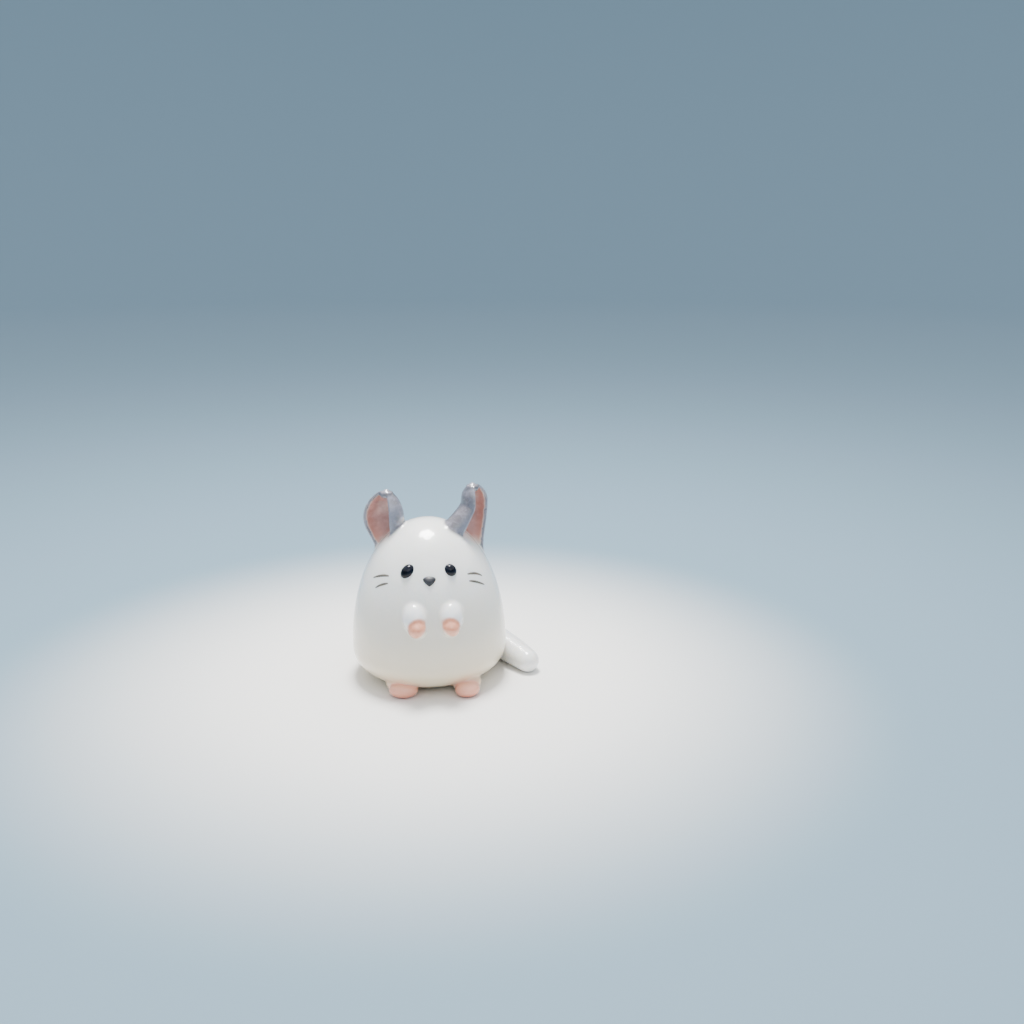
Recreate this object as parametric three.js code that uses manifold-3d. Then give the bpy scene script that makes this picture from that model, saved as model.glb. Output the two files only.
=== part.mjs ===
// A miniature chinchilla of glazed clay that sits upright: an egg-shaped body, ears rolled into cups, short
// arms, small feet and a thick tail that lies round its left side.
// Millimetres, +Z up. It faces -Y, and its own left is +X. The origin is on the floor, on the egg's axis.
// Places round the egg are headings in degrees, from 0 at the front, -Y, to 90 at the animal's left, +X.
import * as THREE from "three";
import { mergeVertices } from "three/addons/utils/BufferGeometryUtils.js";
import Module from "manifold-3d";

const wasm = await Module();
wasm.setup();

// Body
const bodyWidth = 14.84;
const bodyHeight = 15.55;
const widestHeight = 3.3;
const crownPower = 2.05; // how full the egg is above its widest level, where 2 is an ellipse
const basePower = 2.5; // how full it is below that level
const baseTrim = 0.1; // pressed flat where it stands
const neckHeight = 10; // the level of the thin cut between head and torso
const seam = 0.25; // left between touching pieces of clay
const beadSeam = 0.15; // left round the eyes and the nose

// Face
const eyeHeight = 11.85;
const eyeSink = 0.25; // from the clay's surface down to the bead's middle
const eyeDepth = 0.6;
const eyes = {
  right: { heading: -23.3, halfLength: 0.76, halfWidth: 0.58, lean: 32 },
  left: { heading: 20.4, halfLength: 0.64, halfWidth: 0.58, lean: -32 },
};
const noseHeight = 11.1;
const noseHeading = -1.3;
const noseHalfSize = new THREE.Vector3(0.56, 0.4, 0.5);
const noseSink = 0.2;
const noseTaper = 0.6; // how much narrower the nose is at its foot than at its middle

// Ears. Reaches are measured level, from a line that runs straight up through the tip.
const earRootHeight = 12;
const earWall = 0.5;
const earTipPower = 1.85; // how blunt the tip is, where 2 is an ellipse
const earFlareEase = 0.1; // the share of the height over which the side by the other ear begins to flare
const earLateralEdge = 165; // where a level section starts, in degrees from the side that faces the other ear
const ears = {
  right: {
    side: -1,
    line: 3.75,
    back: 0.35,
    tipHeight: 18.3,
    widestHeight: 15.5,
    lateral: 2.4,
    lateralRoot: 1.2,
    medial: 1.65,
    medialRoot: 2.3,
    medialEdge: -72, // where it ends
    depth: 1.5,
    depthRoot: 1.3,
    turnBack: 8,
  },
  left: {
    side: 1,
    line: 4.32,
    back: -0.2,
    tipHeight: 18.85,
    widestHeight: 17,
    lateral: 1.8,
    lateralRoot: 1.25,
    medial: 1,
    medialRoot: 6.9,
    medialEdge: -64,
    depth: 1.6,
    depthRoot: 1.4,
    turnBack: 20,
  },
};

// Arms, which lie low on the chest and end in bare paws
const armHalfSize = new THREE.Vector3(1.15, 1.05, 1.45);
const armHeight = 8;
const armSink = 0.3;
const armLean = 12;
const armPitch = 16; // how far its lower end is swung out from the egg
const pawHalfSize = new THREE.Vector3(0.85, 0.95, 0.85);
const pawHeight = 7.1;
const pawOut = 0.1; // from the egg's surface out to the paw's middle
const arms = {
  right: { side: -1, armHeading: 13.6, pawHeading: 11 },
  left: { side: 1, armHeading: 15.2, pawHeading: 13.3 },
};

// Legs, which are short stubs under the egg's front edge, and bare feet
const legWiderThanFoot = 0.2;
const legHalfDepth = 1.2;
const legHalfHeight = 1;
const legBehindFoot = 1.1;
const legHeight = 0.9;
const footHalfHeight = 0.7;
const footHalfDepth = 0.95;
const footPressed = 0.06; // how far a foot, leg or the tail is pressed flat on the floor
const feet = {
  right: { side: -1, across: 2.76, forward: 5.7, halfWidth: 1.35, splay: 8 },
  left: { side: 1, across: 3.18, forward: 6.2, halfWidth: 1.18, splay: 12 },
};

// Tail, a thick roll that tapers to its root behind, lies round the left side and runs straight on from there
// to a slimmer, round end
const tailRootHeading = 206;
const tailLeaveHeading = 119;
const tailStraight = 6.7;
const tailRadius = 1.55;
const tailEndRadius = 1;
const tailEndPower = 5; // how late along its length the roll grows slimmer
const tailRootTaper = 0.28; // the share of its length over which the root tapers
const tailRootPower = 0.8; // under 1, so that the root stays full close to its tip
const tailPressedIn = 0.7; // how far the roll is pressed into the egg's side
const tailLengths = ["tail_root", "tail_middle", "tail_end"];

// Fineness of the surfaces
const eggSegments = 48;
const eggRings = 30;
const roundSegments = 20;
const roundRings = 12;
const earArcSteps = 18;
const earLevels = 16;
const tailSides = 18;
const tailSteps = 30;
const mergeDistance = 1e-4;
const thin = 0.02; // a share of an ear or tail left at a tip, where its sections would shrink to nothing

const glaze = (color, roughness) => new THREE.MeshStandardMaterial({ color, roughness, metalness: 0 });
const whiteClay = glaze(0xe4e2da, 0.25);
const greyClay = glaze(0xa9adbd, 0.25);
const pinkClay = glaze(0xe3b3a2, 0.3);
const blackBead = glaze(0x0b0c12, 0.08);
const noseClay = glaze(0x4a4a50, 0.35);

const radians = THREE.MathUtils.degToRad;
const mix = THREE.MathUtils.lerp;

// A manifold-3d solid of a closed geometry. Triangles that shrink to a line at a pole are dropped.
function solidFrom(geometry) {
  const bare = new THREE.BufferGeometry();
  bare.setAttribute("position", geometry.getAttribute("position"));
  bare.setIndex(geometry.index);
  const merged = mergeVertices(bare, mergeDistance);
  const corners = merged.index.array;
  const kept = [];
  for (let i = 0; i < corners.length; i += 3) {
    const [a, b, c] = corners.slice(i, i + 3);
    if (a !== b && b !== c && c !== a) kept.push(a, b, c);
  }
  return new wasm.Manifold(
    new wasm.Mesh({
      numProp: 3,
      vertProperties: merged.attributes.position.array,
      triVerts: new Uint32Array(kept),
    }),
  );
}

// A named mesh of a solid's largest piece.
function meshFrom(name, solid, material) {
  const pieces = solid.decompose();
  const largest = pieces.reduce((best, piece) => (piece.volume() > best.volume() ? piece : best));
  const { vertProperties, numProp, triVerts } = largest.getMesh();
  const positions = vertProperties.filter((_, i) => i % numProp < 3);
  const geometry = new THREE.BufferGeometry();
  geometry.setAttribute("position", new THREE.BufferAttribute(positions, 3));
  geometry.setIndex(new THREE.BufferAttribute(triVerts, 1));
  geometry.computeVertexNormals();
  const mesh = new THREE.Mesh(geometry, material);
  mesh.name = name;
  return mesh;
}

// A closed surface through rings with the same number of points. The outlines are the end rings drawn flat.
function loft(rings, firstOutline, lastOutline) {
  const count = rings[0].length;
  const triangles = [];
  for (let ring = 0; ring + 1 < rings.length; ring++) {
    for (let i = 0; i < count; i++) {
      const a = ring * count + i;
      const b = ring * count + ((i + 1) % count);
      triangles.push(a, b, b + count, a, b + count, a + count);
    }
  }
  const last = (rings.length - 1) * count;
  for (const [a, b, c] of THREE.ShapeUtils.triangulateShape(firstOutline, [])) triangles.push(a, c, b);
  for (const [a, b, c] of THREE.ShapeUtils.triangulateShape(lastOutline, []))
    triangles.push(last + a, last + b, last + c);
  const geometry = new THREE.BufferGeometry().setFromPoints(rings.flat());
  geometry.setIndex(triangles);
  return geometry;
}

// The egg, grown by a distance, as a radius and a height at an angle that runs from -90 degrees at its foot
// to 90 at its crown.
function eggPoint(angle, grow) {
  const above = angle > 0;
  const reach = (above ? bodyHeight - widestHeight : widestHeight + baseTrim) + grow;
  const power = 2 / (above ? crownPower : basePower);
  const rise = Math.abs(Math.sin(angle)) ** power * reach;
  const radius = Math.max(0, Math.cos(angle)) ** power * (bodyWidth / 2 + grow);
  return new THREE.Vector2(radius, widestHeight + (above ? rise : -rise));
}

function eggAngle(height, grow) {
  const above = height > widestHeight;
  const reach = (above ? bodyHeight - widestHeight : widestHeight + baseTrim) + grow;
  const share = Math.min(1, Math.abs(height - widestHeight) / reach);
  const angle = Math.asin(share ** ((above ? crownPower : basePower) / 2));
  return above ? angle : -angle;
}

// The part of the egg between two levels.
function eggSlice(low, high, grow = 0) {
  const start = eggAngle(low, grow);
  const end = eggAngle(high, grow);
  const steps = Math.ceil(((end - start) / Math.PI) * eggRings);
  const outline = [new THREE.Vector2(0, low)];
  for (let i = 0; i <= steps; i++) outline.push(eggPoint(mix(start, end, i / steps), grow));
  outline.push(new THREE.Vector2(0, high));
  return solidFrom(new THREE.LatheGeometry(outline, eggSegments).rotateX(Math.PI / 2));
}

// A point on the egg's surface, or sunk under it along the level radius.
function onEgg(heading, height, sink = 0) {
  const radius = eggPoint(eggAngle(height, 0), 0).x - sink;
  return new THREE.Vector3(Math.sin(radians(heading)) * radius, -Math.cos(radians(heading)) * radius, height);
}

// The turn that lays a form, made upright and facing -Y, on the egg's slope at a heading and height.
function eggTurn(heading, height, lean = 0) {
  const step = 0.01;
  const angle = eggAngle(height, 0);
  const low = eggPoint(angle - step, 0);
  const high = eggPoint(angle + step, 0);
  const slope = Math.atan2(low.x - high.x, high.y - low.y);
  return new THREE.Matrix4()
    .makeRotationZ(radians(heading))
    .multiply(new THREE.Matrix4().makeRotationX(-slope))
    .multiply(new THREE.Matrix4().makeRotationY(radians(lean)));
}

function ellipsoid(halfSize, grow = 0) {
  const shape = new THREE.SphereGeometry(1, roundSegments, roundRings);
  return shape.scale(halfSize.x + grow, halfSize.y + grow, halfSize.z + grow);
}

const floorBlock = solidFrom(new THREE.BoxGeometry(60, 60, 10).translate(0, 0, -5));
const wholeEgg = eggSlice(-baseTrim, bodyHeight, 0);
const grownEgg = eggSlice(-baseTrim - seam, bodyHeight + seam, seam);

function eyeBead(eye, grow = 0) {
  const halfSize = new THREE.Vector3(eye.halfWidth, eyeDepth, eye.halfLength);
  const shape = ellipsoid(halfSize, grow).applyMatrix4(eggTurn(eye.heading, eyeHeight, eye.lean));
  const place = onEgg(eye.heading, eyeHeight, eyeSink);
  return solidFrom(shape.translate(place.x, place.y, place.z));
}

// The nose is a rounded triangle with its point down.
function nosePad(grow = 0) {
  const shape = ellipsoid(noseHalfSize, grow);
  const corners = shape.getAttribute("position");
  for (let i = 0; i < corners.count; i++) {
    const height = corners.getZ(i) / (noseHalfSize.z + grow);
    corners.setX(i, corners.getX(i) * (1 + noseTaper * height));
  }
  shape.applyMatrix4(eggTurn(noseHeading, noseHeight));
  const place = onEgg(noseHeading, noseHeight, noseSink);
  return solidFrom(shape.translate(place.x, place.y, place.z));
}

// The reaches of an ear's level section: full at the widest level, closing to the tip and gathered at the
// root, but wide at the root on the side by the other ear.
function earReaches(ear, height) {
  if (height > ear.widestHeight) {
    const share = (height - ear.widestHeight) / (ear.tipHeight - ear.widestHeight);
    const size = (1 - share ** earTipPower) ** (1 / earTipPower);
    return { lateral: ear.lateral * size, medial: ear.medial * size, depth: ear.depth * size };
  }
  const share = (ear.widestHeight - height) / (ear.widestHeight - earRootHeight);
  const gathered = Math.sin((share * Math.PI) / 2) ** 2;
  const easedFlare = (part) => Math.hypot(part, earFlareEase) - earFlareEase;
  const flare = easedFlare(share) / easedFlare(1);
  return {
    lateral: mix(ear.lateral, ear.lateralRoot, gathered),
    medial: mix(ear.medial, ear.medialRoot, flare),
    depth: mix(ear.depth, ear.depthRoot, share),
  };
}

// One level section: along the outside of the wall and back along its inside.
function earRing(ear, height) {
  const { lateral, medial, depth } = earReaches(ear, height);
  const slimmest = Math.min(lateral, medial, depth);
  const wall = Math.min(earWall, slimmest * 0.6);
  const ring = [];
  for (const inset of [0, wall]) {
    for (let i = 0; i <= earArcSteps; i++) {
      const share = inset ? 1 - i / earArcSteps : i / earArcSteps;
      const angle = radians(mix(earLateralEdge, ear.medialEdge, share));
      const reach = Math.cos(angle) > 0 ? medial : lateral;
      const across = Math.cos(angle) * (reach - inset);
      const back = Math.sin(angle) * (depth - inset);
      const turn = radians(ear.turnBack);
      const inward = across * Math.cos(turn) + back * Math.sin(turn);
      const behind = back * Math.cos(turn) - across * Math.sin(turn);
      ring.push(new THREE.Vector3(ear.side * (ear.line - inward), ear.back + behind, height));
    }
  }
  return ear.side > 0 ? ring : ring.reverse();
}

function earCup(ear) {
  const top = mix(ear.tipHeight, ear.widestHeight, thin);
  const rings = [];
  for (let i = 0; i <= earLevels; i++) {
    const share = Math.sin(((i / earLevels) * Math.PI) / 2);
    rings.push(earRing(ear, mix(earRootHeight, top, share)));
  }
  const flat = (ring) => ring.map((point) => new THREE.Vector2(point.x, point.y));
  return solidFrom(loft(rings, flat(rings[0]), flat(rings[earLevels]))).subtract(grownEgg);
}

function armForm(arm, grow = 0) {
  const heading = arm.side * arm.armHeading;
  const shape = ellipsoid(armHalfSize, grow).rotateX(radians(-armPitch));
  shape.applyMatrix4(eggTurn(heading, armHeight, arm.side * armLean));
  const place = onEgg(heading, armHeight, armSink);
  return solidFrom(shape.translate(place.x, place.y, place.z));
}

function pawForm(arm, grow = 0) {
  const heading = arm.side * arm.pawHeading;
  const shape = ellipsoid(pawHalfSize, grow).applyMatrix4(eggTurn(heading, pawHeight));
  const place = onEgg(heading, pawHeight, -pawOut);
  return solidFrom(shape.translate(place.x, place.y, place.z));
}

function footForm(foot, grow = 0) {
  const halfSize = new THREE.Vector3(foot.halfWidth, footHalfDepth, footHalfHeight);
  const shape = ellipsoid(halfSize, grow).rotateZ(radians(foot.side * foot.splay));
  return solidFrom(shape.translate(foot.side * foot.across, -foot.forward, footHalfHeight - footPressed));
}

function legForm(foot, grow = 0) {
  const halfSize = new THREE.Vector3(foot.halfWidth + legWiderThanFoot, legHalfDepth, legHalfHeight);
  const shape = ellipsoid(halfSize, grow);
  return solidFrom(shape.translate(foot.side * foot.across, legBehindFoot - foot.forward, legHeight));
}

const tailTurnRadius = eggPoint(eggAngle(tailRadius, 0), 0).x - tailPressedIn + tailRadius;
const tailBent = radians(tailRootHeading - tailLeaveHeading) * tailTurnRadius;
const tailTotal = tailBent + tailStraight;

// How much of its full radius the tail has at a share of its length, from the root to the round end.
function tailFullness(share) {
  const fromRoot = Math.min(1, (share + thin) / tailRootTaper);
  const fromEnd = Math.min(1, ((1 - share) * tailTotal) / tailEndRadius + thin / 4);
  return Math.sin((fromRoot * Math.PI) / 2) ** tailRootPower * Math.sqrt(1 - (1 - fromEnd) ** 2);
}

// Where the tail's middle line lies over the floor at a share of its length, and the way out from the egg
// there.
function tailPlace(share) {
  const run = share * tailTotal;
  const heading = radians(tailRootHeading) - Math.min(run, tailBent) / tailTurnRadius;
  const outward = new THREE.Vector3(Math.sin(heading), -Math.cos(heading), 0);
  const onward = new THREE.Vector3(-Math.cos(heading), -Math.sin(heading), 0);
  const middle = outward.clone().multiplyScalar(tailTurnRadius);
  return { middle: middle.addScaledVector(onward, Math.max(run - tailBent, 0)), outward };
}

// A length of the tail between two shares, with flat ends, lying on the floor against the egg.
function tailLength(from, to) {
  const steps = Math.ceil((to - from) * tailSteps);
  const outline = Array.from({ length: tailSides }, (_, i) => {
    const angle = (i / tailSides) * Math.PI * 2;
    return new THREE.Vector2(Math.cos(angle), Math.sin(angle));
  });
  const rings = [];
  for (let i = 0; i <= steps; i++) {
    const along = i / steps;
    const closer = to === 1 ? 1 - (1 - along) ** 2 : along; // sections lie closer together at the round end
    const share = mix(from, to, closer);
    const { middle, outward } = tailPlace(share);
    const fullRadius = mix(tailRadius, tailEndRadius, share ** tailEndPower);
    const radius = fullRadius * tailFullness(share);
    const height = fullRadius - footPressed;
    rings.push(
      outline.map(({ x, y }) =>
        new THREE.Vector3(middle.x, middle.y, height + y * radius).addScaledVector(outward, x * radius),
      ),
    );
  }
  return solidFrom(loft(rings, outline, outline));
}

const group = new THREE.Group();
const add = (name, solid, material) => group.add(meshFrom(name, solid, material));

let torso = eggSlice(0, neckHeight - seam / 2);
let head = eggSlice(neckHeight + seam / 2, bodyHeight);
head = head.subtract(nosePad(beadSeam));
add("nose", nosePad(), noseClay);

for (const side of ["right", "left"]) {
  add("eye_" + side, eyeBead(eyes[side]), blackBead);
  head = head.subtract(eyeBead(eyes[side], beadSeam));

  add("ear_" + side, earCup(ears[side]), greyClay);

  const arm = armForm(arms[side]);
  add("arm_" + side, arm.subtract(pawForm(arms[side], seam)), whiteClay);
  add("paw_" + side, pawForm(arms[side]), pinkClay);
  torso = torso.subtract(armForm(arms[side], seam)).subtract(pawForm(arms[side], seam));

  const foot = footForm(feet[side]);
  const leg = legForm(feet[side]).subtract(footForm(feet[side], seam));
  add("foot_" + side, foot.subtract(floorBlock), pinkClay);
  add("leg_" + side, leg.subtract(floorBlock), whiteClay);
  torso = torso.subtract(legForm(feet[side], seam)).subtract(footForm(feet[side], seam));
}

tailLengths.forEach((name, i) => {
  const halfSeam = seam / 2 / tailTotal;
  const from = i === 0 ? 0 : i / tailLengths.length + halfSeam;
  const to = i === tailLengths.length - 1 ? 1 : (i + 1) / tailLengths.length - halfSeam;
  add(name, tailLength(from, to).subtract(grownEgg).subtract(floorBlock), greyClay);
});

add("torso", torso, whiteClay);
add("head", head, whiteClay);

export default group;
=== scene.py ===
# A miniature chinchilla of glazed clay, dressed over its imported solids.
# Sizes are in millimetres, in the solids' frame: +Z up, it faces -Y and its own left is +X. Headings are
# degrees round the egg, from 0 at the front to 90 at the animal's left. Meshes are made in metres.
import math
from collections import namedtuple

import bpy
import numpy as np
from mathutils import Matrix, Vector


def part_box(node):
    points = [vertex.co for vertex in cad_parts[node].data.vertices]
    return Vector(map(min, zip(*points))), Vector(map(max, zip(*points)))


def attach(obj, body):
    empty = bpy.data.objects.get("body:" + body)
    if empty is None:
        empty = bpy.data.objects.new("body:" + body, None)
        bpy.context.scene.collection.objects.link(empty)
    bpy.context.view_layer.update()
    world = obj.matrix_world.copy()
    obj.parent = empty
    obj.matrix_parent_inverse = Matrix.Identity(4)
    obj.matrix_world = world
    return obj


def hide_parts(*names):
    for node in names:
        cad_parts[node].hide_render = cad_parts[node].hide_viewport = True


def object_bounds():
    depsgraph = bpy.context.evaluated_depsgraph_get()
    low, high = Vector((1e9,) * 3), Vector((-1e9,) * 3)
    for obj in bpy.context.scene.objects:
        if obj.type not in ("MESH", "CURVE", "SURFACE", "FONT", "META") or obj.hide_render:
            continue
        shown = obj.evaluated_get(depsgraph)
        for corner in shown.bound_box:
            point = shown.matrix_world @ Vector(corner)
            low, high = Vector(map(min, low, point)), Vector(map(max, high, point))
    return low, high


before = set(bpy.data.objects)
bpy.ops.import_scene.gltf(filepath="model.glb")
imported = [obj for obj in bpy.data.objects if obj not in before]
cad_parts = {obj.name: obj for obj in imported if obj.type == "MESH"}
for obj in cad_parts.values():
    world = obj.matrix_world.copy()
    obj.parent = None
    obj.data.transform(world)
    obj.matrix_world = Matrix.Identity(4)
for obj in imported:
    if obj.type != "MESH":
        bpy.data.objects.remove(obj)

cad_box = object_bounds()
MM = 0.001
TINY = 1e-6  # keeps a divisor away from 0
FAR = 5.0  # stands for any distance that is too long to matter

# Body, an egg. Its widest width and its height come from the solids.
torso_low, torso_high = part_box("torso")
BODY_WIDTH = (torso_high.x - torso_low.x) / MM
BODY_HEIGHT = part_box("head")[1].z / MM
WIDEST_HEIGHT = 3.3
CROWN_POWER = 2.05  # how full it is above its widest level, where 2 is an ellipse
BASE_POWER = 2.5  # how full it is below that level
BASE_TRIM = 0.1  # how much of its foot is cut off flat

# Eyes and nose
EYE_HEIGHT = 11.85
EYE_SINK = 0.25  # from the clay's surface down to the bead's middle
EYE_DEPTH = 0.6
EYES = {
    "right": dict(heading=-23.3, half_length=0.76, half_width=0.58, lean=32),
    "left": dict(heading=20.4, half_length=0.64, half_width=0.58, lean=-32),
}
NOSE_HEIGHT = 11.1
NOSE_HEADING = -1.3
NOSE_HALF_SIZE = (0.56, 0.4, 0.5)
NOSE_SINK = 0.2
NOSE_TAPER = 0.6  # the share by which it is narrowed at its foot and widened at its top
BEAD_SEGMENTS = 64
BEAD_RINGS = 40

# Ears. Reaches are measured level, from a line that runs straight up through the tip: medial towards the
# other ear, lateral away from it and depth backwards.
EAR_ROOT_HEIGHT = 12
EAR_FLOOR = 11.2  # where an ear ends, inside the egg
EAR_WALL = 0.5
EAR_WALL_SHARE = 0.6  # the wall as a share of the slimmest reach, where that is thinner than EAR_WALL
EAR_SLIMMEST = 0.24  # the least thickness of the wall
EAR_LEAST_REACH = 0.06  # the least reach to the middle of the wall
EAR_TIP_POWER = 1.85  # how blunt the tip is, where 2 is an ellipse
EAR_CLOSED = 0.995  # the share of the way to the tip where the sections stop shrinking
EAR_FLARE_EASE = 0.1  # the share of the way down over which the medial side begins to flare
EAR_RIM_THINNING = 0.5  # the share of its thickness that the wall loses towards its rims
EAR_STEEPEST = 3  # the most that a level distance is divided by where the wall leans
EAR_TIP_HALF_SIZE = (0.6, 0.55, 0.4)  # of the clay that closes the cup at its tip
EAR_LATERAL_EDGE = 165  # where the lateral rim lies, in degrees round by the back from the medial side
EARS = {
    "right": dict(side=-1, line=3.75, back=0.35, tip=18.3, widest=15.5, lateral=2.4, lateral_root=1.2,
                  medial=1.65, medial_root=2.3, medial_edge=-72, depth=1.5, depth_root=1.3, turn_back=8),
    "left": dict(side=1, line=4.32, back=-0.2, tip=18.85, widest=17, lateral=1.8, lateral_root=1.25,
                 medial=1.0, medial_root=6.9, medial_edge=-64, depth=1.6, depth_root=1.4, turn_back=20),
}

# Arms and paws
ARM_HALF_SIZE = (1.15, 1.05, 1.45)
ARM_HEIGHT = 8
ARM_SINK = 0.3
ARM_LEAN = 12
ARM_PITCH = 16  # how far its lower end is swung out from the egg
PAW_HALF_SIZE = (0.85, 0.95, 0.85)
PAW_HEIGHT = 7.1
PAW_OUT = 0.1  # from the egg's surface out to the paw's middle
ARMS = {
    "right": dict(side=-1, arm_heading=13.6, paw_heading=11),
    "left": dict(side=1, arm_heading=15.2, paw_heading=13.3),
}

# Legs and feet
LEG_WIDER_THAN_FOOT = 0.2
LEG_HALF_DEPTH = 1.2
LEG_HALF_HEIGHT = 1
LEG_BEHIND_FOOT = 1.1
LEG_HEIGHT = 0.9
FOOT_HALF_HEIGHT = 0.7
FOOT_HALF_DEPTH = 0.95
PRESSED = 0.06  # how far a foot or the tail is pressed flat on the floor
FEET = {
    "right": dict(side=-1, across=2.76, forward=5.7, half_width=1.35, splay=8),
    "left": dict(side=1, across=3.18, forward=6.2, half_width=1.18, splay=12),
}

# Tail, from its root behind, round the left side and straight on to its end
TAIL_ROOT_HEADING = 206
TAIL_LEAVE_HEADING = 119
TAIL_STRAIGHT = 6.7
TAIL_RADIUS = 1.55
TAIL_END_RADIUS = 1.0
TAIL_END_POWER = 5  # how late along its length it grows slimmer
TAIL_ROOT_TAPER = 0.28  # the share of its length over which the root tapers
TAIL_ROOT_POWER = 0.8  # under 1, so that the root stays full close to its tip
TAIL_ROOT_BLUNT = 0.01  # the share of its length by which the root is cut short
TAIL_PRESSED_IN = 0.7  # how far it is pressed into the egg's side
TAIL_BEADS = 130

# How far the clay is smoothed where one form grows out of another
EAR_FILLET = 0.4
EAR_TIP_FILLET = 0.2
ARM_FILLET = 0.25
PAW_FILLET = 0.12
LEG_FILLET = 0.25
FOOT_FILLET = 0.08
TAIL_FILLET = 0.25

# Whiskers, painted strokes through three points each, given as a heading and a height
WHISKERS = {
    "right_upper": [(-60.9, 10.81), (-50.5, 11.22), (-41.4, 11.35)],
    "right_lower": [(-53.7, 10.08), (-47.7, 10.48), (-40.3, 10.74)],
    "left_upper": [(37.0, 11.34), (47.0, 11.18), (54.7, 10.77)],
    "left_lower": [(36.6, 10.75), (44.0, 10.51), (53.5, 10.0)],
}
WHISKER_HALF_WIDTH = 0.12
WHISKER_HALF_THICKNESS = 0.03
WHISKER_END = 0.03  # the share of a stroke's swell that is cut off at either end
WHISKER_POWER = 0.4  # under 1, so that a stroke is full along most of its length
WHISKER_STEPS = 36
WHISKER_SIDES = 12

# Skin, a net of quads over the clay
SKIN_STEP = 0.115
SKIN_MARGIN = 0.6  # how far the grid reaches past the solids
SKIN_STEPS_UNDER_FLOOR = 2.5
FORM_MARGIN = 1  # how far round its box a form is worked out
SETTLE_ROUNDS = 4
SETTLE_PROBE = 0.02
SETTLE_REACH = 0.5  # the most steps that a vertex moves in a round
SETTLE_LEAST_SLOPE = 0.25  # the least squared slope that a move is worked out with

# Where the colours, the painted highlight, the painted light and the painted reflection begin and end on the
# clay, as distances
CLOSE_TO_EAR = 0.25
EAR_OUT_OF_EGG = (0.02, 0.22)
CUP_EDGE = (-0.02, 0.16)
CUP_OUT_OF_EGG = (-0.05, 0.1)
CUP_UNDER_TIP = (0.35, 0.6)
# Painted highlight along an ear's rims
RIM_PAINTED_HIGHLIGHT_EDGE = (-0.24, -0.05)
TAIL_EDGE = (-0.12, 0.02)
TAIL_OUT_OF_EGG = (0.02, 0.15)
TAIL_WHITENS = (0.42, 0.7)  # shares of its length
PATCH_HALF_SIZE = 0.98  # of the pink on a paw
PATCH_ABOVE_PAW = 0.15
PATCH_TILT = 0.25  # how steeply the pink rises towards the other paw
PATCH_FADE = (0.75, 1.05)
PATCH_OUT_OF_EGG = (0.1, 0.35)
# Painted light: where the arms are painted a brighter, cooler white, as if they catch more light
ARM_PAINTED_LIGHT_EDGE = (-0.5, 0.0)
ARM_PAINTED_LIGHT_OUT_OF_EGG = (-0.1, 0.7)
FOOT_EDGE = (-0.22, -0.02)
PAINTED_FOOT_REFLECTION_REACH = 0.9  # how far round a foot the white clay is painted with pink light reflected from the foot

# Floor, a round sheet that curves up far away, and its change of colour
FLOOR_FLAT = 500
FLOOR_FAR = 900
FLOOR_RISE = 420
FLOOR_SIDES = 96
FLOOR_STEPS = 24
FLOOR_FADE = (12, 46)

# Camera, at about the photo's place
CAMERA_PLACE = (-3.6814, -95.95, 42.291)
CAMERA_TILT = 74.713
CAMERA_TURN = -7
FOCAL_PIXELS = 1050
IMAGE_PIXELS = 1024
SENSOR_WIDTH = 36


def mix(start, end, share):
    return start + (end - start) * share


def ramp(values, start, end):
    """Rises smoothly from 0 at start to 1 at end."""
    share = np.clip((values - start) / (end - start), 0, 1)
    return share * share * (3 - 2 * share)


# Shapes of the clay, as distances in millimetres: below 0 inside, above 0 outside


def egg_radius(height):
    above = height > WIDEST_HEIGHT
    reach = BODY_HEIGHT - WIDEST_HEIGHT if above else WIDEST_HEIGHT + BASE_TRIM
    power = CROWN_POWER if above else BASE_POWER
    share = min(1.0, abs(height - WIDEST_HEIGHT) / reach)
    return BODY_WIDTH / 2 * (1 - share**power) ** (1 / power)


def on_egg(heading, height, sink=0.0):
    """A point on the egg's surface, or sunk under it along the level radius."""
    radius = egg_radius(height) - sink
    angle = math.radians(heading)
    return Vector((math.sin(angle) * radius, -math.cos(angle) * radius, height))


def egg_turn(heading, height, lean=0.0):
    """The turn that lays a form, made upright and facing -Y, on the egg's slope."""
    step = 0.01
    slope = math.atan2(egg_radius(height - step) - egg_radius(height + step), 2 * step)
    turn = Matrix.Rotation(math.radians(heading), 3, "Z") @ Matrix.Rotation(-slope, 3, "X")
    return turn @ Matrix.Rotation(math.radians(lean), 3, "Y")


def egg_distance(points):
    radius = np.hypot(points[:, 0], points[:, 1])
    rise = points[:, 2] - WIDEST_HEIGHT
    above = rise > 0
    reach = np.where(above, BODY_HEIGHT - WIDEST_HEIGHT, WIDEST_HEIGHT + BASE_TRIM)
    power = np.where(above, CROWN_POWER, BASE_POWER)
    across = np.maximum(radius / (BODY_WIDTH / 2), TINY)
    up = np.maximum(np.abs(rise) / reach, TINY)
    size = (across**power + up**power) ** (1 / power)
    slope_across = (across / size) ** (power - 1) / (BODY_WIDTH / 2)
    slope_up = (up / size) ** (power - 1) / reach
    return (size - 1) / np.hypot(slope_across, slope_up)


def ellipsoid_distance(points, centre, turn, half_size):
    local = (points - np.array(centre)) @ np.array(turn)
    half = np.array(half_size)
    size = np.linalg.norm(local / half, axis=1)
    slope = np.linalg.norm(local / half**2, axis=1)
    return size * (size - 1) / np.maximum(slope, TINY)


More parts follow.
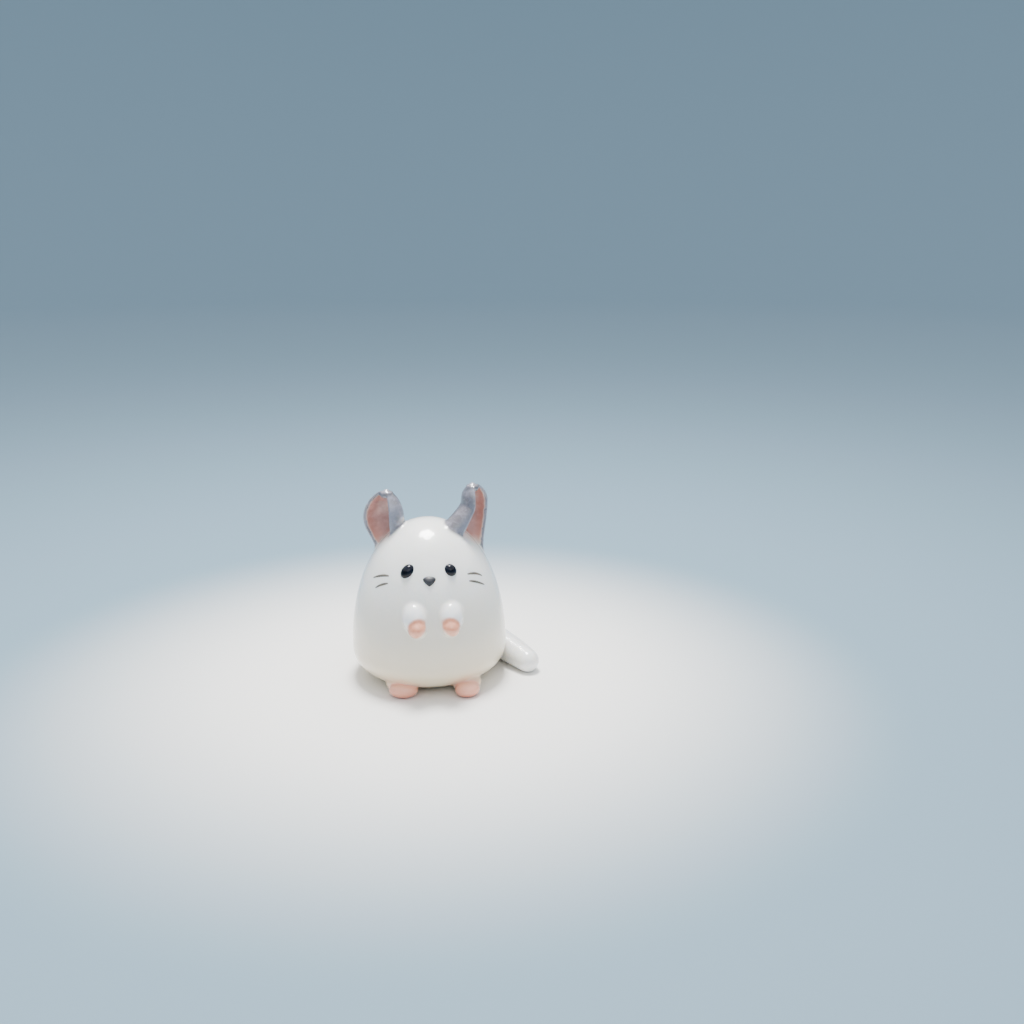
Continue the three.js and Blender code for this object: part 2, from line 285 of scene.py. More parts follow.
def ear_reaches(ear, height):
    """The lateral, medial and backward reach of an ear's level section at each height."""
    top = ear["tip"] - EAR_SLIMMEST / 2
    rise = np.clip((height - ear["widest"]) / (top - ear["widest"]), 0, EAR_CLOSED)
    closing = (1 - rise**EAR_TIP_POWER) ** (1 / EAR_TIP_POWER)
    drop = np.clip((ear["widest"] - height) / (ear["widest"] - EAR_ROOT_HEIGHT), 0, 1)
    gathered = np.sin(drop * math.pi / 2) ** 2
    ease = EAR_FLARE_EASE
    flare = (np.hypot(drop, ease) - ease) / (math.hypot(1, ease) - ease)
    lateral = closing * mix(ear["lateral"], ear["lateral_root"], gathered)
    medial = closing * mix(ear["medial"], ear["medial_root"], flare)
    depth = closing * mix(ear["depth"], ear["depth_root"], drop)
    return lateral, medial, depth


def ear_section(ear, points):
    """Level distances from the middle of an ear's wall, and the wall's thickness there.

    The first distance is below 0 on the cup's side. The second has no sign and grows past the tip as well.
    Past a rim both are measured from that rim.
    """
    height = points[:, 2]
    lateral, medial, depth = ear_reaches(ear, height)
    slimmest = np.minimum(np.minimum(lateral, medial), depth)
    wall = np.clip(EAR_WALL_SHARE * slimmest, EAR_SLIMMEST, EAR_WALL)

    inward = ear["line"] - ear["side"] * points[:, 0]
    behind = points[:, 1] - ear["back"]
    turn = math.radians(ear["turn_back"])
    across = inward * math.cos(turn) - behind * math.sin(turn)
    back = inward * math.sin(turn) + behind * math.cos(turn)
    reach = np.maximum(np.where(across > 0, medial, lateral) - wall / 2, EAR_LEAST_REACH)
    deep = np.maximum(depth - wall / 2, EAR_LEAST_REACH)
    size = np.hypot(across / reach, back / deep)
    slope = np.hypot(across / reach**2, back / deep**2)
    curve = size * (size - 1) / np.maximum(slope, TINY)

    angle = np.degrees(np.arctan2(back / deep, across / reach))
    middle = (EAR_LATERAL_EDGE + ear["medial_edge"]) / 2
    half_arc = (EAR_LATERAL_EDGE - ear["medial_edge"]) / 2
    from_middle = (angle - middle + 180) % 360 - 180
    past_rim = np.abs(from_middle) > half_arc
    towards_rim = np.minimum(np.abs(from_middle) / half_arc, 1)
    wall = np.maximum(wall * (1 - EAR_RIM_THINNING * towards_rim**2), EAR_SLIMMEST)
    edge = np.radians(np.where(from_middle > 0, EAR_LATERAL_EDGE, ear["medial_edge"]))
    edge_reach = np.maximum(np.where(from_middle > 0, lateral, medial) - wall / 2, EAR_LEAST_REACH)
    to_edge = np.hypot(across - np.cos(edge) * edge_reach, back - np.sin(edge) * deep)

    above_tip = np.maximum(height - (ear["tip"] - EAR_SLIMMEST / 2), 0)
    signed = np.where(past_rim, to_edge, curve)
    return signed, np.hypot(np.abs(signed), above_tip), wall


def ear_distance(ear, points):
    """A level distance is longer than the true one where the wall leans, so it is divided by the lean."""
    step = 1e-4
    _, level, wall = ear_section(ear, points)
    lean = (ear_section(ear, points + np.array((0, 0, step)))[1] - level) / step
    steepness = np.minimum(np.hypot(1, lean), EAR_STEEPEST)
    return np.maximum(level / steepness - wall / 2, EAR_FLOOR - points[:, 2])


TAIL_TURN_RADIUS = egg_radius(TAIL_RADIUS) - TAIL_PRESSED_IN + TAIL_RADIUS
TAIL_BENT = math.radians(TAIL_ROOT_HEADING - TAIL_LEAVE_HEADING) * TAIL_TURN_RADIUS
TAIL_TOTAL = TAIL_BENT + TAIL_STRAIGHT


def tail_beads():
    """Centres and radii of the balls that the tail is the envelope of, from its root to its end."""
    centres, radii = [], []
    for share in np.linspace(0, 1 - TAIL_END_RADIUS / TAIL_TOTAL, TAIL_BEADS):
        run = share * TAIL_TOTAL
        heading = math.radians(TAIL_ROOT_HEADING) - min(run, TAIL_BENT) / TAIL_TURN_RADIUS
        past = max(run - TAIL_BENT, 0)
        full = mix(TAIL_RADIUS, TAIL_END_RADIUS, share**TAIL_END_POWER)
        rooted = min(1.0, (share + TAIL_ROOT_BLUNT) / TAIL_ROOT_TAPER)
        x = math.sin(heading) * TAIL_TURN_RADIUS - math.cos(heading) * past
        y = -math.cos(heading) * TAIL_TURN_RADIUS - math.sin(heading) * past
        centres.append((x, y, full - PRESSED))
        radii.append(full * math.sin(rooted * math.pi / 2) ** TAIL_ROOT_POWER)
    return np.array(centres), np.array(radii)


TAIL_CENTRES, TAIL_RADII = tail_beads()


def tail_share(points):
    """How far along the tail each point lies, from 0 at its root to 1 at its end."""
    heading = np.degrees(np.arctan2(points[:, 0], -points[:, 1])) % 360
    leave = math.radians(TAIL_LEAVE_HEADING)
    past = -math.cos(leave) * points[:, 0] - math.sin(leave) * points[:, 1]
    bent = np.radians(TAIL_ROOT_HEADING - heading) * TAIL_TURN_RADIUS
    return np.where(heading > TAIL_LEAVE_HEADING, bent, TAIL_BENT + past) / TAIL_TOTAL


def tail_distance(points):
    nearest = np.full(len(points), FAR)
    for centre, radius in zip(TAIL_CENTRES, TAIL_RADII):
        nearest = np.minimum(nearest, np.linalg.norm(points - centre, axis=1) - radius)
    return nearest


# Forms of clay, each with a distance, the box that holds it and how far its root is smoothed

Form = namedtuple("Form", "name distance low high fillet")


def rounded(name, centre, turn, half_size, fillet):
    """An ellipsoid of clay."""
    centre = np.array(centre)
    reach = max(half_size)

    def distance(points):
        return ellipsoid_distance(points, centre, turn, half_size)

    return Form(name, distance, centre - reach, centre + reach, fillet)


def arm_form(side, arm):
    heading = arm["side"] * arm["arm_heading"]
    turn = egg_turn(heading, ARM_HEIGHT, arm["side"] * ARM_LEAN)
    turn = turn @ Matrix.Rotation(math.radians(-ARM_PITCH), 3, "X")
    return rounded("arm_" + side, on_egg(heading, ARM_HEIGHT, ARM_SINK), turn, ARM_HALF_SIZE, ARM_FILLET)


def paw_place(arm):
    """A paw's middle and turn."""
    heading = arm["side"] * arm["paw_heading"]
    return on_egg(heading, PAW_HEIGHT, -PAW_OUT), egg_turn(heading, PAW_HEIGHT)


def paw_form(side, arm):
    centre, turn = paw_place(arm)
    return rounded("paw_" + side, centre, turn, PAW_HALF_SIZE, PAW_FILLET)


def leg_form(side, foot):
    half_size = (foot["half_width"] + LEG_WIDER_THAN_FOOT, LEG_HALF_DEPTH, LEG_HALF_HEIGHT)
    centre = (foot["side"] * foot["across"], LEG_BEHIND_FOOT - foot["forward"], LEG_HEIGHT)
    return rounded("leg_" + side, centre, Matrix.Identity(3), half_size, LEG_FILLET)


def foot_form(side, foot):
    half_size = (foot["half_width"], FOOT_HALF_DEPTH, FOOT_HALF_HEIGHT)
    centre = (foot["side"] * foot["across"], -foot["forward"], FOOT_HALF_HEIGHT - PRESSED)
    turn = Matrix.Rotation(math.radians(foot["side"] * foot["splay"]), 3, "Z")
    return rounded("foot_" + side, centre, turn, half_size, FOOT_FILLET)


def ear_forms(side, ear):
    """The rolled wall of an ear and the clay that closes its cup at the tip."""
    reach = max(ear["medial_root"], ear["lateral"])
    centre = np.array((ear["side"] * ear["line"], ear["back"]))
    low = np.append(centre - reach, EAR_FLOOR)
    high = np.append(centre + reach, ear["tip"])
    wall = Form("ear_" + side, lambda points: ear_distance(ear, points), low, high, EAR_FILLET)
    middle = np.append(centre, ear["tip"] - EAR_TIP_HALF_SIZE[2])
    tip = rounded("ear_tip_" + side, middle, Matrix.Identity(3), EAR_TIP_HALF_SIZE, EAR_TIP_FILLET)
    return [wall, tip]


def tail_form():
    low = (TAIL_CENTRES - TAIL_RADII[:, None]).min(axis=0)
    high = (TAIL_CENTRES + TAIL_RADII[:, None]).max(axis=0)
    return Form("tail", tail_distance, low, high, TAIL_FILLET)


def clay_forms():
    forms = [arm_form(side, arm) for side, arm in ARMS.items()]
    forms += [paw_form(side, arm) for side, arm in ARMS.items()]
    forms += [leg_form(side, foot) for side, foot in FEET.items()]
    forms += [foot_form(side, foot) for side, foot in FEET.items()]
    for side, ear in EARS.items():
        forms += ear_forms(side, ear)
    return forms + [tail_form()]


FORMS = clay_forms()


def near_distance(form, points):
    """A form's distance, worked out only near its box."""
    near = np.all((points > form.low - FORM_MARGIN) & (points < form.high + FORM_MARGIN), axis=1)
    result = np.full(len(points), FAR)
    if near.any():
        result[near] = form.distance(points[near])
    return result


def clay_distance(points):
    """All the clay as one form, with fillets, cut flat on the floor."""
    total = egg_distance(points)
    for form in FORMS:
        other = near_distance(form, points)
        overlap = np.maximum(form.fillet - np.abs(total - other), 0) / form.fillet
        total = np.minimum(total, other) - overlap**2 * form.fillet / 4
    return np.maximum(total, -points[:, 2])


# The skin


def sample_grid():
    """The lowest corner of a grid round the clay, and the distance at each of its points."""
    low = np.array(cad_box[0]) / MM - SKIN_MARGIN
    low[2] = -SKIN_STEPS_UNDER_FLOOR * SKIN_STEP
    high = np.array(cad_box[1]) / MM + SKIN_MARGIN
    axes = [np.arange(low[i], high[i], SKIN_STEP) for i in range(3)]
    level_y, level_z = np.meshgrid(axes[1], axes[2], indexing="ij")
    slabs = []
    for x in axes[0]:
        points = np.stack([np.full(level_y.size, x), level_y.ravel(), level_z.ravel()], axis=1)
        slabs.append(clay_distance(points).reshape(level_y.shape))
    return low, np.array(slabs)


def net_vertices(values):
    """One vertex, in grid steps, in each cell that the surface crosses, and the vertex's number by cell."""
    inside = values < 0
    cell_shape = tuple(n - 1 for n in values.shape)
    corners = [np.array((i, j, k)) for i in (0, 1) for j in (0, 1) for k in (0, 1)]

    def at(corner):
        return inside[tuple(slice(c, c + n) for c, n in zip(corner, cell_shape))]

    count = sum(at(corner).astype(np.int8) for corner in corners)
    active = (count > 0) & (count < len(corners))
    index = np.full(cell_shape, -1)
    index[active] = np.arange(active.sum())
    cells = np.argwhere(active)
    total = np.zeros((len(cells), 3))
    hits = np.zeros(len(cells))
    for start in corners:
        for axis in np.eye(3, dtype=int):
            end = start + axis
            if end.max() > 1:
                continue
            value_start = values[tuple((cells + start).T)]
            value_end = values[tuple((cells + end).T)]
            crosses = (value_start < 0) != (value_end < 0)
            share = value_start[crosses] / (value_start[crosses] - value_end[crosses])
            total[crosses] += start + share[:, None] * axis
            hits[crosses] += 1
    return cells + total / hits[:, None], index


def net_quads(values, index):
    """A quad round each grid edge that the surface crosses, facing outwards."""
    inside = values < 0
    last = np.array(values.shape) - 1
    quads = []
    for axis in range(3):
        changes = inside != np.roll(inside, -1, axis=axis)
        nodes = np.argwhere(changes)
        nodes = nodes[np.all(nodes >= 1, axis=1) & np.all(nodes < last, axis=1)]
        one = np.eye(3, dtype=int)[(axis + 1) % 3]
        two = np.eye(3, dtype=int)[(axis + 2) % 3]
        ring = np.stack([index[tuple((nodes - d).T)] for d in (0 * one, one, one + two, two)], axis=1)
        leaving = inside[tuple(nodes.T)]
        quads.append(np.where(leaving[:, None], ring, ring[:, ::-1]))
    return np.concatenate(quads)


def settle(points):
    """Moves the vertices onto the clay's surface, and those under the floor onto it."""
    for _ in range(SETTLE_ROUNDS):
        value = clay_distance(points)
        slopes = []
        for axis in np.eye(3):
            probe = SETTLE_PROBE * axis
            rise = clay_distance(points + probe) - clay_distance(points - probe)
            slopes.append(rise / (2 * SETTLE_PROBE))
        slope = np.stack(slopes, axis=1)
        steep = np.maximum((slope**2).sum(axis=1), SETTLE_LEAST_SLOPE)
        move = -(value / steep)[:, None] * slope
        length = np.linalg.norm(move, axis=1, keepdims=True)
        points = points + move * np.minimum(1, SETTLE_REACH * SKIN_STEP / np.maximum(length, TINY))
    points[:, 2] = np.maximum(points[:, 2], 0)
    return points


def clay_masks(points):
    """Where each colour of clay lies on the skin, with the painted highlight on the ear rims, the painted
    light on the arms and the painted pink reflection round the feet, from 0 to 1, and how far along the tail
    its points are.
    """
    egg = egg_distance(points)
    form = {entry.name: near_distance(entry, points) for entry in FORMS}
    names = ("grey", "cup", "rim", "arm", "paw", "foot", "painted_foot_reflection", "tail", "along")
    masks = {name: np.zeros(len(points)) for name in names}

    def cover(name, values):
        masks[name] = np.maximum(masks[name], values)

    for side, ear in EARS.items():
        close = np.minimum(form["ear_" + side], form["ear_tip_" + side]) < CLOSE_TO_EAR
        curve = ear_section(ear, points)[0]
        out_of_egg = ramp(egg, *EAR_OUT_OF_EGG)
        in_cup = ramp(-curve, *CUP_EDGE) * ramp(ear["tip"] - points[:, 2], *CUP_UNDER_TIP) * close
        cover("cup", in_cup * ramp(egg, *CUP_OUT_OF_EGG))
        cover("grey", close * out_of_egg * (1 - in_cup))
        # Painted highlight: the ear rims are painted a lighter blue-grey, as the glaze's shine
        cover("rim", close * out_of_egg * ramp(-np.abs(curve), *RIM_PAINTED_HIGHLIGHT_EDGE))

    share = tail_share(points)
    on_tail = ramp(-form["tail"], *TAIL_EDGE) * ramp(egg, *TAIL_OUT_OF_EGG)
    cover("grey", on_tail * (1 - ramp(share, *TAIL_WHITENS)))
    masks["tail"] = on_tail
    masks["along"] = np.where(on_tail > 0, share, 0)

    for side, arm in ARMS.items():
        centre, turn = paw_place(arm)
        local = (points - np.array(centre)) @ np.array(turn)
        rise = local[:, 2] - PATCH_ABOVE_PAW + PATCH_TILT * arm["side"] * local[:, 0]
        spread = np.hypot(local[:, 0], rise) / PATCH_HALF_SIZE
        cover("paw", ramp(egg, *PATCH_OUT_OF_EGG) * (1 - ramp(spread, *PATCH_FADE)))
        # Painted light: the arms are painted a brighter, cooler white
        cover("arm", ramp(-form["arm_" + side], *ARM_PAINTED_LIGHT_EDGE) * ramp(egg, *ARM_PAINTED_LIGHT_OUT_OF_EGG))

    for side in FEET:
        foot = form["foot_" + side]
        cover("foot", ramp(-foot, *FOOT_EDGE))
        # Painted reflection: pink light from the foot painted on the white clay round it
        cover("painted_foot_reflection", np.exp(-((np.maximum(foot, 0) / PAINTED_FOOT_REFLECTION_REACH) ** 2)))
    return masks


# Materials


class Shader:
    """A material's nodes, with short calls to add and join them."""

    def __init__(self, name):
        self.material = bpy.data.materials.new(name)
        self.material.use_nodes = True
        self.nodes = self.material.node_tree.nodes
        self.surface = self.nodes["Principled BSDF"]
        self.place = self.add("ShaderNodeTexCoord").outputs["Object"]

    def add(self, kind, inputs=(), **settings):
        node = self.nodes.new(kind)
        for name, value in settings.items():
            setattr(node, name, value)
        for name, value in dict(inputs).items():
            self.put(node.inputs[name], value)
        return node

    def put(self, socket, value):
        if isinstance(value, bpy.types.NodeSocket):
            self.material.node_tree.links.new(value, socket)
        else:
            socket.default_value = value

    def set(self, **inputs):
        """Sets the surface's inputs, as coat_roughness for Coat Roughness."""
        for name, value in inputs.items():
            self.put(self.surface.inputs[name.replace("_", " ").title().replace("Ior", "IOR")], value)

    def mask(self, name):
        return self.add("ShaderNodeAttribute", attribute_name=name).outputs["Fac"]

    def noise(self, size, detail=2.0, roughness=0.5):
        """Noise with features of about a size in millimetres, from 0 to 1."""
        inputs = {"Vector": self.place, "Scale": 1 / (size * MM), "Detail": detail, "Roughness": roughness}
        return self.add("ShaderNodeTexNoise", inputs).outputs["Fac"]

    def span(self, value, low, high, to_low=0.0, to_high=1.0, kind="LINEAR"):
        """Maps values from low to high onto the second pair, and holds them inside it."""
        inputs = {"Value": value, "From Min": low, "From Max": high, "To Min": to_low, "To Max": to_high}
        return self.add("ShaderNodeMapRange", inputs, interpolation_type=kind).outputs["Result"]

    def times(self, one, two):
        return self.add("ShaderNodeMath", {0: one, 1: two}, operation="MULTIPLY").outputs["Value"]

    def mix(self, share, one, two):
        node = self.add("ShaderNodeMix", data_type="RGBA")
        self.put(node.inputs["Factor"], share)
        self.put(node.inputs[6], one)
        self.put(node.inputs[7], two)
        return node.outputs[2]

    def bump(self, height, distance, normal=None):
        inputs = {"Height": height, "Distance": distance * MM, "Strength": 1.0}
        if normal is not None:
            inputs["Normal"] = normal
        return self.add("ShaderNodeBump", inputs).outputs["Normal"]


def shade(red, green, blue):
    """A colour given as it looks on a screen, from 0 to 255, in the linear form that nodes take."""
    linear = [((v / 255 + 0.055) / 1.055) ** 2.4 if v > 10 else v / 255 / 12.92 for v in (red, green, blue)]
    return (*linear, 1.0)


# The white clay low and high on the body: the darker, warmer low colour is painted shade and painted warm
# light bounced from the floor
WHITE_LOW_PAINTED_SHADE = shade(216, 200, 166)
WHITE_HIGH = shade(248, 246, 241)
WHITE_TAIL = shade(240, 241, 240)
# Painted light on the arms
WHITE_ARM_PAINTED_LIGHT = shade(247, 247, 247)
# Painted pink reflection of the feet on the white clay
PAINTED_FOOT_REFLECTION = shade(236, 186, 160)
PEARL_DARK = shade(76, 73, 82)
PEARL_LIGHT = shade(134, 131, 142)
PEARL_CLOUD = shade(164, 166, 180)
# Painted highlight on the ear rims
PEARL_RIM_PAINTED_HIGHLIGHT = shade(168, 174, 192)
CUP_ROOT = shade(238, 232, 222)
CUP_LOW = shade(216, 164, 150)
CUP_LIGHT = shade(204, 154, 142)
CUP_DARK = shade(176, 124, 114)
PAW_LIGHT = shade(238, 172, 142)
PAW_DARK = shade(226, 150, 118)
# The pink of the feet, with painted shade low down and painted light on top
FOOT_PAINTED_SHADE = shade(218, 130, 102)
FOOT_PAINTED_LIGHT = shade(247, 188, 162)
BEAD_BLACK = (0.002, 0.002, 0.004, 1)
BEAD_NAVY = (0.005, 0.007, 0.016, 1)
NOSE_DARK = shade(34, 34, 39)
NOSE_LIGHT = shade(50, 50, 56)
WHISKER_DARK = shade(76, 70, 63)
WHISKER_LIGHT = shade(122, 114, 103)
FLOOR_NEAR_COLOUR = shade(242, 240, 236)
FLOOR_FAR_COLOUR = shade(116, 143, 160)


def white_clay_with_painted_light(s, height):
    """White clay, painted darker and warmer towards the floor as painted shade and painted warm light
    bounced from the floor, cooler on the tail, painted brighter on the arms as painted light and painted
    pink round the feet as a painted reflection of them.
    """
    # Painted shade: the white is darker and warmer towards the floor
    white = s.mix(s.span(height, low=1 * MM, high=10 * MM), WHITE_LOW_PAINTED_SHADE, WHITE_HIGH)
    white = s.mix(s.mask("tail"), white, WHITE_TAIL)
    # Painted light: a brighter, cooler white on the arms
    white = s.mix(s.mask("arm"), white, WHITE_ARM_PAINTED_LIGHT)
    # Painted reflection of the pink feet on the white clay round them
    return s.mix(s.times(s.mask("painted_foot_reflection"), 0.55), white, PAINTED_FOOT_REFLECTION)


def pearl_clay(s, mottle, cloud):
    pearl = s.mix(s.span(mottle, low=0.35, high=0.68), PEARL_DARK, PEARL_LIGHT)
    pearl = s.mix(s.span(cloud, low=0.4, high=0.62, to_high=0.35), pearl, PEARL_CLOUD)
    # Painted highlight: the grey is lightened along the ear rims
    return s.mix(s.times(s.mask("rim"), 0.5), pearl, PEARL_RIM_PAINTED_HIGHLIGHT)


def cup_clay(s, height, mottle):
    """Pink in an ear's cup, paler low down and white at its root."""
    upper = s.mix(s.span(mottle, low=0.3, high=0.7), CUP_LIGHT, CUP_DARK)
    cup = s.mix(s.span(height, low=13.2 * MM, high=15.2 * MM), CUP_LOW, upper)
    return s.mix(s.span(height, low=12.4 * MM, high=13.6 * MM), CUP_ROOT, cup)


def tail_ridges(s):
    """Fine brushed ridges across the tail's white end, from -1 to 1."""
    along = s.mask("along")
    radians_along_tail = 440.0
    waves = s.add("ShaderNodeMath", {0: s.times(along, radians_along_tail)}, operation="SINE")
    begin = s.span(along, low=0.7, high=0.78)
    stop = s.span(along, low=0.98, high=0.9)
    return s.times(waves.outputs["Value"], s.times(begin, stop))


def glazed_clay():
    """White clay, pearl grey on the ears and the tail, pink in the cups and bare pink on paws and feet, with
    painted shade low on the body and on the feet, painted light on the arms and the tops of the feet, a
    painted highlight along the ear rims and a painted pink reflection round the feet.
    """
    s = Shader("glazed_clay")
    height = s.add("ShaderNodeSeparateXYZ", {"Vector": s.place}).outputs["Z"]
    mottle = s.noise(0.55, detail=4, roughness=0.6)
    cloud = s.noise(2.2)
    worn = s.times(s.mask("grey"), s.span(mottle, low=0.2, high=0.45, to_low=0.75))
    colour = s.mix(worn, white_clay_with_painted_light(s, height), pearl_clay(s, mottle, cloud))
    colour = s.mix(s.mask("cup"), colour, cup_clay(s, height, mottle))
    paw = s.mix(s.span(mottle, low=0.35, high=0.65), PAW_LIGHT, PAW_DARK)
    colour = s.mix(s.mask("paw"), colour, paw)
    # Painted light and shade: the feet are lighter on top and darker towards the floor
    foot = s.mix(s.span(height, low=0.1 * MM, high=1.3 * MM), FOOT_PAINTED_SHADE, FOOT_PAINTED_LIGHT)
    colour = s.mix(s.mask("foot"), colour, foot)
    uneven = s.bump(cloud, distance=0.06)
    fine = s.bump(s.noise(0.35, detail=3), distance=0.012, normal=uneven)
    ridged = s.bump(tail_ridges(s), distance=0.014, normal=fine)
    s.set(base_color=colour, normal=ridged, roughness=0.32)
    s.set(coat_weight=1.0, coat_roughness=0.05, coat_ior=1.5, coat_normal=ridged)
    s.set(subsurface_weight=0.55, subsurface_radius=(1.0, 0.85, 0.65), subsurface_scale=0.6 * MM)
    return s.material


def black_glass():
    s = Shader("black_glass")
    colour = s.mix(s.span(s.noise(0.5), low=0.3, high=0.7), BEAD_BLACK, BEAD_NAVY)
    s.set(base_color=colour, roughness=0.08, ior=1.33, normal=s.bump(s.noise(0.6), distance=0.01))
    return s.material


def satin_grey():
    s = Shader("satin_grey")
    colour = s.mix(s.span(s.noise(0.25, detail=3), low=0.3, high=0.7), NOSE_DARK, NOSE_LIGHT)
    s.set(base_color=colour, roughness=0.5, coat_weight=0.15, coat_roughness=0.3)
    s.set(normal=s.bump(s.noise(0.2, detail=3), distance=0.015))
    return s.material


def whisker_paint():
    s = Shader("whisker_paint")
    colour = s.mix(s.span(s.noise(0.18, detail=3), low=0.35, high=0.65), WHISKER_DARK, WHISKER_LIGHT)
    s.set(base_color=colour, roughness=0.3, coat_weight=1.0, coat_roughness=0.08)
    return s.material


def floor_paper():
    """Pale round the figurine and slate blue further away."""
    s = Shader("floor_paper")
    distance = s.add("ShaderNodeVectorMath", {0: s.place}, operation="LENGTH").outputs["Value"]
    near, far = FLOOR_FADE
    fade = s.span(distance, low=near * MM, high=far * MM, kind="SMOOTHSTEP")
    s.set(base_color=s.mix(fade, FLOOR_NEAR_COLOUR, FLOOR_FAR_COLOUR), roughness=0.7)
    s.set(normal=s.bump(s.noise(0.8, detail=3), distance=0.01))
    return s.material


# Pieces


def add_object(name, points, faces, material):
    """A smooth mesh from points in millimetres."""
    mesh = bpy.data.meshes.new(name)
    mesh.from_pydata((np.asarray(points) * MM).tolist(), [], [tuple(face) for face in faces])
    mesh.polygons.foreach_set("use_smooth", [True] * len(mesh.polygons))
    mesh.materials.append(material)
    thing = bpy.data.objects.new(name, mesh)
    bpy.context.scene.collection.objects.link(thing)
    return thing


def add_piece(name, points, faces, material, replaces=()):
    """A piece of the figurine, which rides on its one body."""
    piece = add_object(name, points, faces, material)
    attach(piece, "root")
    if replaces:
        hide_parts(*replaces)
    return piece


def ring_faces(count, sides):
    """Quads between a number of rings that follow one another."""
    faces = []
    for ring in range(count - 1):
        for side in range(sides):
            a = ring * sides + side
            b = ring * sides + (side + 1) % sides
            faces.append((a, b, b + sides, a + sides))
    return faces


def add_skin():
    low, values = sample_grid()
    vertices, index = net_vertices(values)
    points = settle(low + vertices * SKIN_STEP)
    nodes = ["torso", "head", "tail_root", "tail_middle", "tail_end"]
    for side in ("right", "left"):
        nodes += [part + side for part in ("ear_", "arm_", "paw_", "leg_", "foot_")]
    skin = add_piece("clay_skin", points, net_quads(values, index), glazed_clay(), nodes)
    for name, mask in clay_masks(points).items():
        attribute = skin.data.attributes.new(name, "FLOAT", "POINT")
        attribute.data.foreach_set("value", mask.astype(np.float32))


def ball(half_size):
    """Points and faces of a closed ball about the origin, with its poles up and down."""
    segments, rings = BEAD_SEGMENTS, BEAD_RINGS
    points = [(0, 0, half_size[2])]
    for ring in range(1, rings):
        polar = math.pi * ring / rings
        for segment in range(segments):
            turn = 2 * math.pi * segment / segments
            level = (math.sin(polar) * math.cos(turn), math.sin(polar) * math.sin(turn), math.cos(polar))
            points.append([size * value for size, value in zip(half_size, level)])
    points.append((0, 0, -half_size[2]))
    faces = []
    for segment in range(segments):
        after = (segment + 1) % segments
        faces.append((0, 1 + segment, 1 + after))
        last = 1 + (rings - 2) * segments
        faces.append((last + after, last + segment, len(points) - 1))
        for ring in range(rings - 2):
            base = 1 + ring * segments
            faces.append((base + segment, base + segments + segment, base + segments + after, base + after))
    return np.array(points), faces


def add_eyes():
    material = black_glass()
    for side, eye in EYES.items():
        points, faces = ball((eye["half_width"], EYE_DEPTH, eye["half_length"]))
        turn = np.array(egg_turn(eye["heading"], EYE_HEIGHT, eye["lean"]))
        points = points @ turn.T + np.array(on_egg(eye["heading"], EYE_HEIGHT, EYE_SINK))
        add_piece("eye_bead_" + side, points, faces, material, ["eye_" + side])


def add_nose():
    """A rounded triangle with its point down."""
    points, faces = ball(NOSE_HALF_SIZE)
    points[:, 0] *= 1 + NOSE_TAPER * points[:, 2] / NOSE_HALF_SIZE[2]
    turn = np.array(egg_turn(NOSE_HEADING, NOSE_HEIGHT))
    points = points @ turn.T + np.array(on_egg(NOSE_HEADING, NOSE_HEIGHT, NOSE_SINK))
    add_piece("nose_pad", points, faces, satin_grey(), ["nose"])


def whisker_ring(stroke, share):
    """A flat section of a stroke at a share of its length, on the egg."""
    start = (1 - share) * (1 - 2 * share)
    middle = 4 * share * (1 - share)
    end = share * (2 * share - 1)
    heading, height = [start * a + middle * b + end * c for a, b, c in zip(*stroke)]
    turn = egg_turn(heading, height)
    centre = on_egg(heading, height)
    full = math.sin(math.pi * mix(WHISKER_END, 1 - WHISKER_END, share)) ** WHISKER_POWER
    ring = []
    for side in range(WHISKER_SIDES):
        angle = 2 * math.pi * side / WHISKER_SIDES
        out = -math.cos(angle) * WHISKER_HALF_THICKNESS * full
        up = math.sin(angle) * WHISKER_HALF_WIDTH * full
        ring.append(centre + turn @ Vector((0, out, up)))
    return ring


def add_whiskers():
    material = whisker_paint()
    for name, stroke in WHISKERS.items():
        points = []
        for step in range(WHISKER_STEPS + 1):
            points += whisker_ring(stroke, step / WHISKER_STEPS)
        last = WHISKER_STEPS * WHISKER_SIDES
        faces = ring_faces(WHISKER_STEPS + 1, WHISKER_SIDES)
        faces.append(tuple(reversed(range(WHISKER_SIDES))))
        faces.append(tuple(range(last, last + WHISKER_SIDES)))
        add_piece("whisker_" + name, points, faces, material)


# Stage, lights and camera


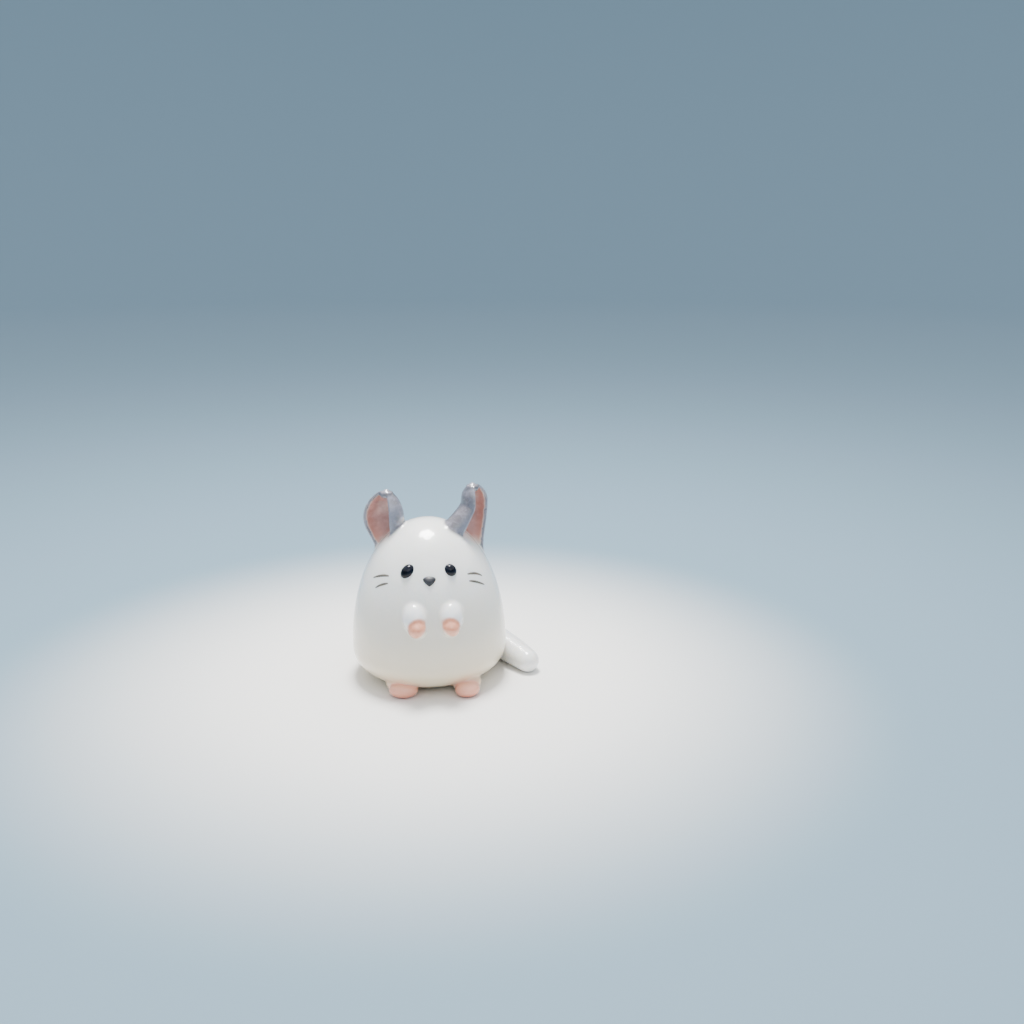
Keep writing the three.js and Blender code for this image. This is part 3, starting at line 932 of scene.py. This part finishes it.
def add_floor():
    """A round floor that curves up far away, so that no horizon shows."""
    rings = [(0.0, 0.0), (FLOOR_FLAT / 2, 0.0)]
    for step in range(FLOOR_STEPS + 1):
        turn = step / FLOOR_STEPS * math.pi / 2
        radius = mix(FLOOR_FLAT, FLOOR_FAR, math.sin(turn))
        rings.append((radius, FLOOR_RISE * (1 - math.cos(turn))))
    points = []
    for radius, level in rings:
        for side in range(FLOOR_SIDES):
            turn = 2 * math.pi * side / FLOOR_SIDES
            points.append((radius * math.cos(turn), radius * math.sin(turn), level))
    floor = add_object("floor", points, ring_faces(len(rings), FLOOR_SIDES), floor_paper())


def add_light(name, azimuth, elevation, distance, size, power, colour):
    """A soft round light that looks at the middle of the figurine. Azimuth 0 is in front of it."""
    a, e = math.radians(azimuth), math.radians(elevation)
    away = Vector((math.sin(a) * math.cos(e), -math.cos(a) * math.cos(e), math.sin(e)))
    light = bpy.data.lights.new(name, "AREA")
    light.shape = "DISK"
    light.size = size * MM
    light.energy = power
    light.color = colour
    lamp = bpy.data.objects.new(name, light)
    lamp.location = (away * distance + Vector((0, 0, BODY_HEIGHT / 2))) * MM
    lamp.rotation_euler = away.to_track_quat("Z", "Y").to_euler()
    bpy.context.scene.collection.objects.link(lamp)


def add_lights():
    warm = (1.0, 0.99, 0.97)
    cool = (0.96, 0.98, 1.0)
    add_light("key", azimuth=178, elevation=81, distance=150, size=50, power=0.58, colour=warm)
    add_light("front_fill", azimuth=10, elevation=35, distance=240, size=180, power=0.1, colour=cool)
    world = bpy.data.worlds.new("studio")
    world.use_nodes = True
    background = world.node_tree.nodes["Background"]
    background.inputs["Color"].default_value = (0.80, 0.83, 0.87, 1)
    background.inputs["Strength"].default_value = 1.65
    bpy.context.scene.world = world


def add_camera():
    data = bpy.data.cameras.new("camera")
    data.sensor_width = SENSOR_WIDTH
    data.lens = SENSOR_WIDTH * FOCAL_PIXELS / IMAGE_PIXELS
    data.clip_start = 1 * MM
    camera = bpy.data.objects.new("camera", data)
    camera.location = Vector(CAMERA_PLACE) * MM
    camera.rotation_euler = (math.radians(CAMERA_TILT), 0, math.radians(CAMERA_TURN))
    bpy.context.scene.collection.objects.link(camera)
    bpy.context.scene.camera = camera


add_camera()
add_skin()
add_eyes()
add_nose()
add_whiskers()
add_floor()
add_lights()
